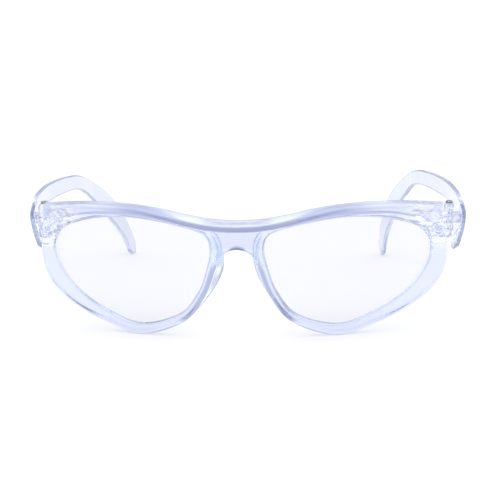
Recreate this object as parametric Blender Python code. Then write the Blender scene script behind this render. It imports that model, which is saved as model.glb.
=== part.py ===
"""Clear safety spectacles: a moulded front with two lenses, and two temples that fold on screwed hinges.

World axes: +X is the wearer's left, +Y runs from the front to the ear tips, +Z is up, z = 0 is the table.
The design dimensions below are in millimetres, with y counted back from the front of the bridge.
"""

import math

import bmesh
import bpy
import numpy as np
from mathutils import Matrix, Vector

MM = 0.001
SIDES = {"right": -1, "left": 1}

# Overall
MIDDLE_Y = 76.9  # from the front of the bridge to the middle of the whole depth
STAND = 0.55  # height above the table of the level that z is counted from below
FACE_RADIUS = 115.0  # the front wraps round a vertical cylinder of this radius
CURVE_STEPS = 24  # between two points of a table, before even spacing
OUTLINE_STEPS = 56  # points round each lens opening
TEMPLE_STEPS = 46
SHARP_ANGLE = 35  # degrees between two faces above which their edge is shaded sharp

# Rim: x, z, width of the rim, length of its rear lip, how far the lip splays outwards
RIM_POINTS = (
    (34.0, 3.2, 3.8, 0.3, 0.0),
    (46.2, 6.8, 4.3, 0.7, 0.0),
    (57.0, 12.9, 5.7, 2.8, 0.3),
    (63.6, 20.2, 7.1, 4.6, 0.7),
    (66.0, 28.1, 6.0, 3.4, 0.5),
    (63.8, 33.8, 4.8, 2.5, 0.4),
    (58.5, 37.1, 4.2, 0.4, 0.0),
    (49.0, 39.6, 3.8, 0.3, 0.0),
    (38.0, 40.5, 3.3, 0.3, 0.0),
    (28.0, 39.6, 3.2, 0.3, 0.0),
    (18.0, 37.6, 3.0, 0.3, 0.0),
    (11.0, 35.1, 3.0, 0.3, 0.0),
    (9.2, 30.0, 3.2, 2.0, 0.9),
    (10.6, 23.0, 2.9, 5.6, 2.4),
    (13.7, 15.0, 2.8, 4.6, 1.4),
    (20.4, 7.2, 3.1, 0.6, 0.0),
)
RIM_DEPTH = 4.6
RIM_EDGE = 0.45  # bevel round the rim's front
LIP_THICKNESS = 1.4
GROOVE_FRONT = 1.2
GROOVE_WIDTH = 2.3
GROOVE_DEPTH = 0.6
OPENING_MARGIN = 0.3  # the brow and the bridge end this far outside each opening, inside the rim

# Lens
LENS_THICKNESS = 2.0
LENS_OVERLAP = 0.45  # how far the lens reaches into the groove
LENS_STRIPS = 13  # upright strips that give its big faces their curve

# Brow ridge: x, z of its lower foot, z of its front edge, z of its rear top edge, how far it stands out
BROW_POINTS = (
    (0.0, 36.2, 39.0, 40.1, 2.3),
    (8.0, 36.6, 39.3, 40.5, 2.3),
    (17.0, 38.1, 40.5, 41.8, 2.2),
    (26.0, 39.7, 42.3, 43.6, 2.1),
    (36.0, 40.8, 44.0, 44.8, 2.0),
    (47.0, 41.0, 44.3, 45.1, 1.8),
    (56.0, 40.2, 44.1, 44.65, 1.4),
    (64.0, 37.4, 43.1, 43.8, 0.9),
    (70.5, 33.1, 42.2, 42.9, 0.3),
)
BROW_STEPS = 14

# Bridge: its lower arch, from one nose flange up and over to the other
ARCH_POINTS = ((0.0, 30.2), (3.2, 29.5), (5.8, 27.2), (8.4, 22.8))
ARCH_STEPS = 5
BRIDGE_TOP = 38.5
BRIDGE_DEPTH = 4.4

# End piece, from the rim's corner back to the hinge: x, y, lowest z, highest z, thickness
END_POINTS = (
    (60.0, 18.2, 37.6, 43.8, 3.6),
    (67.0, 22.4, 32.5, 42.9, 4.2),
    (71.2, 27.0, 29.8, 41.9, 4.0),
    (72.6, 31.4, 30.4, 41.0, 2.9),
    (72.9, 35.8, 30.8, 40.8, 2.7),
)
END_STEPS = 14
END_CORNER = 0.5  # bevel along its four edges

# Hinge
HINGE_X = 73.0
HINGE_Y = 36.0
KNUCKLE_RADIUS = 1.7
BARREL_LOW, BARREL_HIGH = 30.8, 40.8
MIDDLE_LOW, MIDDLE_HIGH = 33.6, 37.4
HINGE_GAP = 0.2
HOLE_RADIUS = 0.9
SLOT_RADIUS = 2.05
SCREW_RADIUS = 0.75
HEAD_RADIUS = 1.25
HEAD_HEIGHT = 0.9
HEAD_SEAT = 0.35  # depth of the recess that the head sits in
HEAD_SIDE = 0.6  # share of the head's height below its bevel
HEAD_FLAT = 0.7  # share of its radius inside the bevel
SCREW_BEVEL = 0.2
DRIVER_SLOT = (0.4, 0.35)  # width and depth
NUT_RADIUS = 1.2
NUT_HEIGHT = 1.1
NUT_POCKET = 1.3
NUT_SIDES = 6
ROUND_STEPS = 24

# Temple: x, y and z of the middle, half height, how far the upper edge curls in,
# how far the lower edge slants in, thickness
TEMPLE_POINTS = (
    (77.2, 29.4, 33.6, 7.4, 1.0, 2.5, 1.3),
    (77.5, 33.0, 33.2, 8.7, 1.3, 3.9, 1.5),
    (77.6, 38.0, 33.6, 8.2, 1.2, 3.6, 1.6),
    (77.8, 43.5, 34.8, 6.5, 0.9, 2.2, 1.8),
    (78.1, 50.0, 36.9, 4.5, 0.4, 0.7, 1.9),
    (78.0, 57.0, 38.1, 3.6, 0.2, 0.0, 1.9),
    (76.3, 71.0, 39.2, 3.5, 0.0, 0.0, 1.9),
    (73.1, 84.0, 39.8, 3.3, 0.0, 0.0, 1.9),
    (69.8, 95.0, 39.7, 3.0, 0.0, 0.0, 1.9),
    (68.2, 100.0, 39.2, 2.9, 0.0, 0.0, 1.9),
    (66.7, 105.0, 38.1, 2.9, 0.0, 0.0, 1.9),
    (65.4, 110.0, 36.3, 3.1, 0.0, 0.0, 1.9),
    (64.1, 115.0, 34.0, 3.4, 0.0, 0.0, 1.9),
    (61.0, 124.5, 28.5, 3.9, 0.0, 0.0, 1.9),
    (57.6, 135.0, 21.1, 4.0, 0.0, 0.0, 1.9),
    (54.6, 144.5, 12.3, 3.7, 0.0, 0.0, 1.9),
    (53.0, 151.0, 3.6, 3.4, 0.0, 0.0, 1.9),
    (52.5, 153.4, 0.0, 3.4, 0.0, 0.0, 1.8),
)
TEMPLE_CORNER = 0.7
UPRIGHT_SHARE = 0.5  # of the half height above the middle, the level where the section stands upright
SLANT_POWER = 1.6  # 1 would lean straight in below that level, more curves in
SIDE_POINTS = 6  # up each side of the section
TIP_ROUND = 2.4  # how much of the length, seen from above, the rounded tip takes
TIP_TURNS = (20, 40, 58, 74)  # degrees round the tip at which its rings stand
WEB_HALF_WIDTH = 1.1
WEB_REACH = 4.2  # from the hinge axis out into the blade
HOOK_LEVEL = 38.0  # the temples' middle starts to drop behind the ear below this z
HOOK_LEAN = {"right": -0.08, "left": 0.11}  # how far the hook leans outwards for each millimetre it drops
ARM_RISE = {"right": -0.009, "left": 0.02}  # how far the arm rises for each millimetre behind the hinge
REST_SWING = {"right": -4.6, "left": 4.2}  # degrees each temple lies folded in (+) or spread (-) at rest


def clear_scene():
    for obj in list(bpy.data.objects):
        bpy.data.objects.remove(obj)


def material(name, colour, roughness, metallic=0.0, transmission=0.0):
    made = bpy.data.materials.new(name)
    made.use_nodes = True
    shader = made.node_tree.nodes["Principled BSDF"]
    shader.inputs["Base Color"].default_value = (*colour, 1.0)
    shader.inputs["Roughness"].default_value = roughness
    shader.inputs["Metallic"].default_value = metallic
    shader.inputs["Transmission Weight"].default_value = transmission
    return made


def smooth_curve(points, steps=CURVE_STEPS, closed=False):
    """Catmull-Rom curve through the points, with this many steps from each to the next."""
    known = np.array(points, float)
    count = len(known)
    made = []
    for i in range(count if closed else count - 1):
        if closed:
            before, here, there, after = (known[(i + k) % count] for k in (-1, 0, 1, 2))
        else:
            here, there = known[i], known[i + 1]
            before = known[i - 1] if i else 2 * here - there
            after = known[i + 2] if i + 2 < count else 2 * there - here
        for t in np.arange(steps) / steps:
            made.append(
                here
                + 0.5 * t * (there - before)
                + t**2 * (before - 2.5 * here + 2 * there - 0.5 * after)
                + t**3 * (1.5 * (here - there) + 0.5 * (after - before))
            )
    if not closed:
        made.append(known[-1])
    return np.array(made)


def length_along(curve):
    """Distance from the curve's start to each of its points, measured over its first two values."""
    steps = np.linalg.norm(np.diff(curve[:, :2], axis=0), axis=1)
    return np.concatenate([[0], np.cumsum(steps)])


def sampled(curve, distances):
    """The curve's points at these distances from its start."""
    at = length_along(curve)
    return np.column_stack([np.interp(distances, at, column) for column in curve.T])


def spaced(curve, count, closed=False):
    """The curve again with this many points at equal distances."""
    whole = np.vstack([curve, curve[:1]]) if closed else curve
    made = sampled(whole, np.linspace(0, length_along(whole)[-1], count + 1 if closed else count))
    return made[:-1] if closed else made


def face_point(x, z, depth):
    """A point this far behind the front's curved face."""
    return (x, x * x / (2 * FACE_RADIUS) + depth, z)


def mesh_object(name, points, faces):
    """An object from points in design millimetres, with its faces turned outwards."""
    mesh = bpy.data.meshes.new(name)
    mesh.from_pydata([(x * MM, (y - MIDDLE_Y) * MM, (z + STAND) * MM) for x, y, z in points], [], faces)
    bm = bmesh.new()
    bm.from_mesh(mesh)
    bmesh.ops.recalc_face_normals(bm, faces=bm.faces)
    bm.to_mesh(mesh)
    bm.free()
    obj = bpy.data.objects.new(name, mesh)
    bpy.context.scene.collection.objects.link(obj)
    return obj


def loft(name, rings, closed=False):
    """A solid skin through rings of equal point counts, capped at its ends unless it closes on itself."""
    count, size = len(rings), len(rings[0])
    points = [tuple(p) for ring in rings for p in ring]
    faces = []
    for i in range(count if closed else count - 1):
        a, b = i * size, (i + 1) % count * size
        for j in range(size):
            k = (j + 1) % size
            faces.append((a + j, a + k, b + k, b + j))
    if not closed:
        faces.append(tuple(range(size)))
        faces.append(tuple(range((count - 1) * size, count * size)))
    return mesh_object(name, points, faces)


def cylinder(name, x, y, low, high, radius, steps=ROUND_STEPS):
    turns = [2 * math.pi * (k + 0.5) / steps for k in range(steps)]
    return loft(
        name,
        [[(x + radius * math.cos(a), y + radius * math.sin(a), z) for a in turns] for z in (low, high)],
    )


def box(name, low, high):
    (x0, y0, z0), (x1, y1, z1) = low, high
    return loft(name, [[(x0, y0, z), (x1, y0, z), (x1, y1, z), (x0, y1, z)] for z in (z0, z1)])


def boolean(target, tool, operation):
    """Unites or cuts with a hidden helper object, which stays in the scene for later edits."""
    tool.hide_render = True
    tool.display_type = "WIRE"
    step = target.modifiers.new(tool.name, "BOOLEAN")
    step.operation = operation
    step.object = tool
    step.solver = "EXACT"


def opening_outline():
    """Round one lens opening: x, z, outward x, outward z, rim width, lip length, lip splay."""
    curve = spaced(smooth_curve(RIM_POINTS, closed=True), OUTLINE_STEPS, closed=True)
    along = np.roll(curve[:, :2], -1, axis=0) - np.roll(curve[:, :2], 1, axis=0)
    along /= np.linalg.norm(along, axis=1)[:, None]
    return np.column_stack([curve[:, :2], along[:, 1], -along[:, 0], curve[:, 2:]])


def rim_section(width, lip, splay):
    """Closed section of the rim as (distance out from the opening, depth behind the face)."""
    rear = RIM_DEPTH + lip
    return (
        (0.0, RIM_EDGE * 0.6),
        (RIM_EDGE, 0.0),
        (width - 0.9, 0.25),
        (width, 1.1),
        (width, RIM_DEPTH - 0.5),
        (width + splay, rear - 0.3),
        (width + splay - 0.4, rear),
        (width + splay - LIP_THICKNESS + 0.3, rear),
        (width + 0.4 * splay - LIP_THICKNESS - 0.2, RIM_DEPTH),
        (0.3, RIM_DEPTH),
        (0.0, RIM_DEPTH - 0.3),
    )


def rim(side):
    sign = SIDES[side]
    rings = []
    for x, z, out_x, out_z, width, lip, splay in opening_outline():
        rings.append(
            [
                face_point(sign * (x + out * out_x), z + out * out_z, depth)
                for out, depth in rim_section(width, lip, splay)
            ]
        )
    return loft("rim_" + side, rings, closed=True)


def curved_plate(name, side, overlap, front, thickness):
    """A plate that follows the face's curve, with the opening's outline grown by overlap."""
    sign = SIDES[side]
    edge = [
        (sign * (x + overlap * out_x), z + overlap * out_z)
        for x, z, out_x, out_z, *_ in opening_outline()
    ]
    rings = [[face_point(x, z, front + depth) for x, z in edge] for depth in (0.0, thickness)]
    made = loft(name, rings)
    split_in_columns(made)
    return made


def lens(side):
    front = GROOVE_FRONT + (GROOVE_WIDTH - LENS_THICKNESS) / 2
    return curved_plate("lens_" + side, side, LENS_OVERLAP, front, LENS_THICKNESS)


def split_in_columns(obj):
    """Cuts a plate's big front and back faces into upright strips, so that they keep the face's curve."""
    bm = bmesh.new()
    bm.from_mesh(obj.data)
    low = min(v.co.x for v in bm.verts)
    high = max(v.co.x for v in bm.verts)
    for x in np.linspace(low, high, LENS_STRIPS + 1)[1:-1]:
        bmesh.ops.bisect_plane(
            bm,
            geom=bm.verts[:] + bm.edges[:] + bm.faces[:],
            plane_co=(x, 0, 0),
            plane_no=(1, 0, 0),
            dist=1e-6,
        )
    bm.to_mesh(obj.data)
    bm.free()


def brow():
    """The ridge that runs across the whole front, with a sloped top and an undercut face below its edge."""
    half = spaced(smooth_curve(BROW_POINTS), BROW_STEPS * 2)
    whole = np.vstack([half[:0:-1] * (-1, 1, 1, 1, 1), half])
    rings = []
    for x, foot, edge, top, stand in whole:
        section = (
            (0.5, foot - 0.4),
            (0.1, foot),
            (-stand, edge - 0.35),
            (-stand + 0.2, edge + 0.15),
            (RIM_DEPTH - 0.4, top),
            (RIM_DEPTH, top - 0.4),
            (RIM_DEPTH, foot + 1.2),
            (RIM_DEPTH - 1.4, foot + 0.1),
        )
        rings.append([face_point(x, z, depth) for depth, z in section])
    return loft("brow", rings)


def bridge():
    half = smooth_curve(ARCH_POINTS, ARCH_STEPS)
    arch = np.vstack([half[:0:-1] * (-1, 1), half])
    rings = []
    for x, z in arch:
        rings.append(
            [
                face_point(x, z + 0.5, 0.15),
                face_point(x, BRIDGE_TOP, 0.15),
                face_point(x, BRIDGE_TOP, BRIDGE_DEPTH),
                face_point(x, z + 0.4, BRIDGE_DEPTH),
                face_point(x, z, BRIDGE_DEPTH - 0.5),
                face_point(x, z, 0.7),
            ]
        )
    return loft("bridge", rings)


def end_piece(side):
    """The arm of the front that turns back from the rim's upper corner to the hinge barrel."""
    sign = SIDES[side]
    path = spaced(smooth_curve(END_POINTS), END_STEPS)
    along = np.gradient(path[:, :2], axis=0)
    along /= np.linalg.norm(along, axis=1)[:, None]
    rings = []
    for (x, y, low, high, thick), (tx, ty) in zip(path, along):
        out_x, out_y = ty * thick / 2, -tx * thick / 2
        inner = 1 - 2 * END_CORNER / thick
        corners = (
            (1, low + END_CORNER),
            (1, high - END_CORNER),
            (inner, high),
            (-inner, high),
            (-1, high - END_CORNER),
            (-1, low + END_CORNER),
            (-inner, low),
            (inner, low),
        )
        rings.append([(sign * (x + k * out_x), y + k * out_y, z) for k, z in corners])
    return loft("end_piece_" + side, rings)


def cut_frame_hinge(frame, side):
    """Opens the barrel for the temple's knuckle, the screw, its head and its nut."""
    x = SIDES[side] * HINGE_X
    cuts = (
        ("knuckle_slot_", MIDDLE_LOW - HINGE_GAP, MIDDLE_HIGH + HINGE_GAP, SLOT_RADIUS, ROUND_STEPS),
        ("screw_hole_", BARREL_LOW - 1, BARREL_HIGH + 1, HOLE_RADIUS, ROUND_STEPS),
        ("head_seat_", BARREL_HIGH - HEAD_SEAT, BARREL_HIGH + 2, HEAD_RADIUS + HINGE_GAP, ROUND_STEPS),
        ("nut_pocket_", BARREL_LOW - 2, BARREL_LOW + NUT_POCKET, NUT_RADIUS + HINGE_GAP, NUT_SIDES),
    )
    for name, low, high, radius, steps in cuts:
        boolean(frame, cylinder(name + side, x, HINGE_Y, low, high, radius, steps), "DIFFERENCE")


def front_frame():
    frame = brow()
    frame.name = "front_frame"
    boolean(frame, bridge(), "UNION")
    for side in SIDES:
        opening = curved_plate("opening_" + side, side, OPENING_MARGIN, -8, 20)
        boolean(frame, opening, "DIFFERENCE")
    for side, sign in SIDES.items():
        boolean(frame, rim(side), "UNION")
        boolean(frame, end_piece(side), "UNION")
        x = sign * HINGE_X
        barrel = cylinder("barrel_" + side, x, HINGE_Y, BARREL_LOW, BARREL_HIGH, KNUCKLE_RADIUS)
        boolean(frame, barrel, "UNION")
    for side in SIDES:
        groove = curved_plate("groove_" + side, side, GROOVE_DEPTH, GROOVE_FRONT, GROOVE_WIDTH)
        boolean(frame, groove, "DIFFERENCE")
        cut_frame_hinge(frame, side)
    boolean(frame, box("table_cut", (-60, -10, -5), (60, 40, -STAND)), "DIFFERENCE")
    return frame


def temple_section(half_height, curl, slant, thick):
    """Closed section of the temple as (outward, upward), upright at one level and leaning in elsewhere."""
    half = thick / 2
    corner = min(TEMPLE_CORNER, 0.45 * thick)
    edge = half_height - corner
    side = [(half, v * edge) for v in np.linspace(-1, 1, SIDE_POINTS)]
    ring = [(half - corner, -half_height)] + side + [(half - corner, half_height)]
    ring += [(-out, up) for out, up in ring[::-1]]
    made = []
    for out, up in ring:
        share = up / half_height
        above = max(0.0, (share - UPRIGHT_SHARE) / (1 - UPRIGHT_SHARE))
        below = max(0.0, (UPRIGHT_SHARE - share) / (1 + UPRIGHT_SHARE))
        made.append((out - curl * above**2 - slant * below**SLANT_POWER, up))
    return made


def temple_path(steps):
    """Rings' places along the temple, the last ones shrinking to round its tip off."""
    curve = smooth_curve(TEMPLE_POINTS)
    whole = length_along(curve)[-1]
    turns = np.radians(TIP_TURNS)
    path = sampled(curve, np.concatenate([
        np.linspace(0, whole - TIP_ROUND, steps),
        whole - TIP_ROUND * (1 - np.sin(turns)),
    ]))
    path[steps:, 3] *= np.cos(turns)
    return path


def sprung(side, y, z):
    """How far the temple has sprung outwards and upwards from the shape it would mirror its fellow in."""
    drop = max(0.0, HOOK_LEVEL - z)
    back = max(0.0, y - HINGE_Y)
    return HOOK_LEAN[side] * drop, ARM_RISE[side] * back * min(1.0, z / HOOK_LEVEL)


def temple_blade(side):
    sign = SIDES[side]
    path = temple_path(TEMPLE_STEPS)
    along = np.gradient(path[:, :3], axis=0)
    rings = []
    for (x, y, z, *shape), direction in zip(path, along):
        direction = Vector(direction).normalized()
        out = Vector((direction.y, -direction.x, 0)).normalized()
        up = out.cross(direction)
        lean, rise = sprung(side, y, z)
        ring = []
        for a, b in temple_section(*shape):
            point = Vector((x, y, z)) + out * a + up * b
            ring.append((sign * (point.x + lean), point.y, point.z + rise))
        rings.append(ring)
    return loft("temple_" + side, rings)


def temple(side):
    """The temple straight back, with its origin then moved onto the hinge axis and swung to rest."""
    sign = SIDES[side]
    made = temple_blade(side)
    x = sign * HINGE_X
    knuckle = cylinder("knuckle_" + side, x, HINGE_Y, MIDDLE_LOW, MIDDLE_HIGH, KNUCKLE_RADIUS)
    web_ends = sorted((x, sign * (HINGE_X + WEB_REACH)))
    web = box(
        "web_" + side,
        (web_ends[0], HINGE_Y - WEB_HALF_WIDTH, MIDDLE_LOW),
        (web_ends[1], HINGE_Y + WEB_HALF_WIDTH, MIDDLE_HIGH),
    )
    hole = cylinder("temple_hole_" + side, x, HINGE_Y, MIDDLE_LOW - 1, MIDDLE_HIGH + 1, HOLE_RADIUS)
    boolean(made, web, "UNION")
    boolean(made, knuckle, "UNION")
    boolean(made, hole, "DIFFERENCE")
    axis = bpy.data.objects.new("hinge_axis_" + side, None)
    bpy.context.scene.collection.objects.link(axis)
    axis.location = (x * MM, (HINGE_Y - MIDDLE_Y) * MM, 0)
    to_axis = Matrix.Translation(-axis.location)
    for obj in (made, web, knuckle, hole):
        obj.data.transform(to_axis)
        obj.parent = axis
    axis.rotation_euler.z = sign * math.radians(REST_SWING[side])
    return made


def turned(name, x, y, profile, steps=ROUND_STEPS):
    """A solid turned about an upright axis, from (radius, z) pairs running from bottom to top."""
    turns = [2 * math.pi * k / steps for k in range(steps)]
    rings = [[(x + r * math.cos(a), y + r * math.sin(a), z) for a in turns] for r, z in profile]
    return loft(name, rings)


def hinge_screw(side):
    x = SIDES[side] * HINGE_X
    seat = BARREL_HIGH - HEAD_SEAT + HINGE_GAP
    profile = (
        (SCREW_RADIUS - SCREW_BEVEL, BARREL_LOW + 0.1),
        (SCREW_RADIUS, BARREL_LOW + 0.1 + SCREW_BEVEL),
        (SCREW_RADIUS, seat),
        (HEAD_RADIUS, seat),
        (HEAD_RADIUS, seat + HEAD_SIDE * HEAD_HEIGHT),
        (HEAD_FLAT * HEAD_RADIUS, seat + HEAD_HEIGHT),
    )
    screw = turned("hinge_screw_" + side, x, HINGE_Y, profile)
    width, depth = DRIVER_SLOT
    slot = box(
        "driver_slot_" + side,
        (x - 2, HINGE_Y - width / 2, seat + HEAD_HEIGHT - depth),
        (x + 2, HINGE_Y + width / 2, seat + HEAD_HEIGHT + 1),
    )
    boolean(screw, slot, "DIFFERENCE")
    return screw


def hinge_nut(side):
    x = SIDES[side] * HINGE_X
    top = BARREL_LOW + NUT_HEIGHT
    nut = cylinder("hinge_nut_" + side, x, HINGE_Y, BARREL_LOW, top, NUT_RADIUS, NUT_SIDES)
    hole = cylinder("nut_hole_" + side, x, HINGE_Y, BARREL_LOW - 1, top + 1, HOLE_RADIUS)
    boolean(nut, hole, "DIFFERENCE")
    return nut


def finish(obj, look):
    obj.data.materials.append(look)
    obj.data.shade_smooth()
    obj.data.set_sharp_from_angle(angle=math.radians(SHARP_ANGLE))


def main():
    clear_scene()
    clear_frame = material("clear_frame", (0.92, 0.94, 0.99), 0.05, transmission=1.0)
    clear_temple = material("clear_temple", (0.93, 0.95, 0.99), 0.06, transmission=1.0)
    clear_lens = material("clear_lens", (0.98, 0.99, 1.0), 0.02, transmission=1.0)
    steel = material("hinge_steel", (0.42, 0.43, 0.46), 0.3, metallic=1.0)
    finish(front_frame(), clear_frame)
    for side in SIDES:
        finish(lens(side), clear_lens)
        finish(temple(side), clear_temple)
        finish(hinge_screw(side), steel)
        finish(hinge_nut(side), steel)


main()
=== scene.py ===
"""Clear safety glasses: the finished mouldings, lenses and hinge steel, with floor, light and camera.

Design dimensions are in millimetres, as in the part: y counts back from the front of the bridge.
"""

import math

import bmesh
import bpy
import numpy as np
from mathutils import Matrix, Vector

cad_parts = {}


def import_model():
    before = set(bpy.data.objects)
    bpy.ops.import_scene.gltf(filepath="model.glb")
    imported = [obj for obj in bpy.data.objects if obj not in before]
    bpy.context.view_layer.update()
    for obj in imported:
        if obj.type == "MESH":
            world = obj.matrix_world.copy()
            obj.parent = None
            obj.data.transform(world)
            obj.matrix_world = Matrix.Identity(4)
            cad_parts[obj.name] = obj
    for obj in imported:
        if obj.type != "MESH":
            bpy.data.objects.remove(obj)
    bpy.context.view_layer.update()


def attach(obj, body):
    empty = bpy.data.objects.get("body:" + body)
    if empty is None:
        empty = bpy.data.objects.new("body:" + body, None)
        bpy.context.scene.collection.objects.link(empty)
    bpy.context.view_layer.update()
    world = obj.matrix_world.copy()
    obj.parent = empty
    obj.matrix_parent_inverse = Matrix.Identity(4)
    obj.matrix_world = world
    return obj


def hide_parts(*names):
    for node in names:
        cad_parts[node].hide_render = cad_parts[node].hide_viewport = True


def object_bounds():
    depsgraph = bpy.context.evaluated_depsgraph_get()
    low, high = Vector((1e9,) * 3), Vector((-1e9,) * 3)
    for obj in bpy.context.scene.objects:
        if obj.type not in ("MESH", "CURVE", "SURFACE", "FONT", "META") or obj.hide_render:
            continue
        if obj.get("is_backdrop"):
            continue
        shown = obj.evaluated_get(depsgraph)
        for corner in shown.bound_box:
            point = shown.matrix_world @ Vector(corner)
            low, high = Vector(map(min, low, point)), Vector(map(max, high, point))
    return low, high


MM = 0.001
SIDES = {"right": -1, "left": 1}  # the wearer's sides, and the sign of x on each

# Overall
MIDDLE_Y = 76.9  # the world's y = 0 lies here, midway from front to back
STAND = 0.55  # height of the design's z = 0 above the table
FACE_RADIUS = 115.0  # of the cylinder that the front wraps round
OUTLINE_STEPS = 260  # points round each lens opening
TEMPLE_STEPS = 220  # rings along a temple
ROUND_STEPS = 72
RIM_CURVE_STEPS = 40  # between two points of a table, before even spacing
BROW_CURVE_STEPS = 30
END_CURVE_STEPS = 30
TEMPLE_CURVE_STEPS = 40
VOXEL = 0.24  # of the grid that fuses the front's shapes
SMOOTHING_ROUNDS = 7
SMOOTHING_SHARE = 0.5  # of the way to its neighbours' middle that each round moves a point
TOOL_PAST = 1.0  # a cutting tool runs on at least this far past what it cuts
MOULD_SHARP = 35  # degrees between two faces above which their edge is shaded sharp
LENS_SHARP = 25
TEMPLE_SHARP = 40

# Rim: x, z, width of the rim, length of its rear lip, how far the lip splays outwards
RIM_POINTS = (
    (34.0, 3.2, 3.8, 0.3, 0.0),
    (46.2, 6.8, 4.3, 0.7, 0.0),
    (57.0, 12.9, 5.7, 2.8, 0.3),
    (63.6, 20.2, 7.1, 4.6, 0.7),
    (66.0, 28.1, 6.0, 3.4, 0.5),
    (63.8, 33.8, 4.8, 2.5, 0.4),
    (58.5, 37.1, 4.2, 0.4, 0.0),
    (49.0, 39.6, 3.8, 0.3, 0.0),
    (38.0, 40.5, 3.3, 0.3, 0.0),
    (28.0, 39.6, 3.2, 0.3, 0.0),
    (18.0, 37.6, 3.0, 0.3, 0.0),
    (11.0, 35.1, 3.0, 0.3, 0.0),
    (9.2, 30.0, 3.2, 2.0, 0.9),
    (10.6, 23.0, 2.9, 5.6, 2.4),
    (13.7, 15.0, 2.8, 4.6, 1.4),
    (20.4, 7.2, 3.1, 0.6, 0.0),
)
RIM_DEPTH = 4.6
RIM_EDGE = 0.45  # bevel round the rim's front
RIM_EDGE_SHARE = 0.6  # of that bevel, how deep it is
RIM_SHOULDER = (0.9, 0.25, 1.1)  # its outer corner: how far in it starts, its depth there, and at the side
RIM_ROOT = 0.5  # the lip starts to splay this far in front of the rim's rear face
RIM_REAR_EDGE = 0.3  # bevel round the opening at the rear
LIP_THICKNESS = 1.4
LIP_EDGE = (0.4, 0.3)  # bevel of its free edge: across, along
LIP_INSIDE = (0.3, 0.2)  # its inner face stands this far out at the free edge, and in at the root
LIP_ROOT_SPLAY = 0.4  # share of the splay that the inner face has at the root
LIP_TRIM = 0.3  # off the rear lip's length and splay beside the temple, for its blade to clear
LIP_TRIM_OFF = (60, 63)  # off the middle, where that trim fades in
GROOVE_FRONT = 1.2
GROOVE_WIDTH = 2.3
GROOVE_DEPTH = 0.6
GROOVE_STRIPS = 56  # upright strips that give a plate's big faces their curve
OPENING_MARGIN = 0.3  # the brow and the bridge end this far outside each opening, inside the rim
OPENING_REACH = (-8, 12)  # how far in front of and behind the face they are cut away
OPENING_STRIPS = 14
STRIP_JOIN = 1e-7  # metres within which a strip's cut meets a point that is there already
FOOT_CUT = (-60, -10, -5), (60, 40, -STAND)  # box that takes off what hangs below the table

# Lens
LENS_THICKNESS = 2.0
LENS_OVERLAP = 0.45  # how far the lens reaches into the groove
LENS_BEVEL = 0.25
LENS_STRIPS = 90

# Brow ridge: x, z of its lower foot, z of its front edge, z of its rear top edge, how far it stands out
BROW_POINTS = (
    (0.0, 36.2, 39.0, 40.1, 2.3),
    (8.0, 36.6, 39.3, 40.5, 2.3),
    (17.0, 38.1, 40.5, 41.8, 2.2),
    (26.0, 39.7, 42.3, 43.6, 2.1),
    (36.0, 40.8, 44.0, 44.8, 2.0),
    (47.0, 41.0, 44.3, 45.1, 1.8),
    (56.0, 40.2, 44.1, 44.65, 1.4),
    (64.0, 37.4, 43.1, 43.8, 0.9),
    (70.5, 33.1, 42.2, 42.9, 0.3),
)
BROW_ROOT = (0.5, 0.4)  # how far behind the face and below its foot the ridge starts, inside the rim
BROW_FOOT_DEPTH = 0.1
BROW_NOSE = (0.2, 0.15, 0.35)  # bevel of its front edge: how far back, and how far above and below
BROW_TOP_EDGE = 0.4  # bevel along its rear top edge
BROW_HEEL = (1.4, 1.2, 0.1)  # bevel of its rear lower edge: how far forward, and its heights over the foot
BROW_STEPS = 90
BROW_PAINT_STEPS = 8

# Bridge: its lower arch, from the middle out to a nose flange
ARCH_POINTS = ((0.0, 30.2), (3.2, 29.5), (5.8, 27.2), (8.4, 22.8))
ARCH_STEPS = 20
BRIDGE_TOP = 38.5
BRIDGE_DEPTH = 4.4
BRIDGE_FACE = 0.15  # its flat front's depth behind the face
BRIDGE_FRONT_EDGE = (0.5, 0.7)  # of the bevel under the flat front: its height, and its depth at the arch
BRIDGE_REAR_EDGE = (0.4, 0.5)  # of the bevel behind: its height, and how far in front of the rear it ends

# End piece, from the rim's corner back to the hinge: x, y, lowest z, highest z, thickness
END_POINTS = (
    (60.0, 18.2, 37.6, 43.8, 3.6),
    (67.0, 22.4, 32.5, 42.9, 4.2),
    (71.2, 27.0, 29.8, 41.9, 4.0),
    (72.6, 31.4, 30.4, 41.0, 2.9),
    (72.9, 35.8, 30.8, 40.8, 2.7),
)
END_STEPS = 70
END_CORNER = 0.5  # bevel along its four edges

# Hinge
HINGE_X = 73.0
HINGE_Y = 36.0
KNUCKLE_RADIUS = 1.7
BARREL_LOW, BARREL_HIGH = 30.8, 40.8
MIDDLE_LOW, MIDDLE_HIGH = 33.6, 37.4
HINGE_GAP = 0.2
HOLE_RADIUS = 0.9
SLOT_RADIUS = 2.05
SCREW_RADIUS = 0.75
HEAD_RADIUS = 1.25
HEAD_HEIGHT = 0.9
HEAD_SEAT = 0.35  # depth of the recess that the head sits in
HEAD_EDGE = 0.06  # bevel under the head
HEAD_SIDE = 0.55  # share of the head's height below its dome
HEAD_FLAT = 0.4  # share of its radius that is flat on top
DOME_REACH, DOME_RISE = 0.38, 0.43  # shares of the head's radius and height that the dome's round takes
DOME_TURNS = (15, 75, 5)  # degrees of the dome's first and last rings, and how many there are
SCREW_BEVEL = 0.2
SCREW_FOOT = 0.1  # the screw ends this far above the barrel's lower end
DRIVER_SLOT = (0.4, 0.35)  # width and depth
NUT_RADIUS = 1.2
NUT_HEIGHT = 1.1
NUT_POCKET = 1.3
NUT_SIDES = 6
NUT_BEVEL = 0.15

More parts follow.
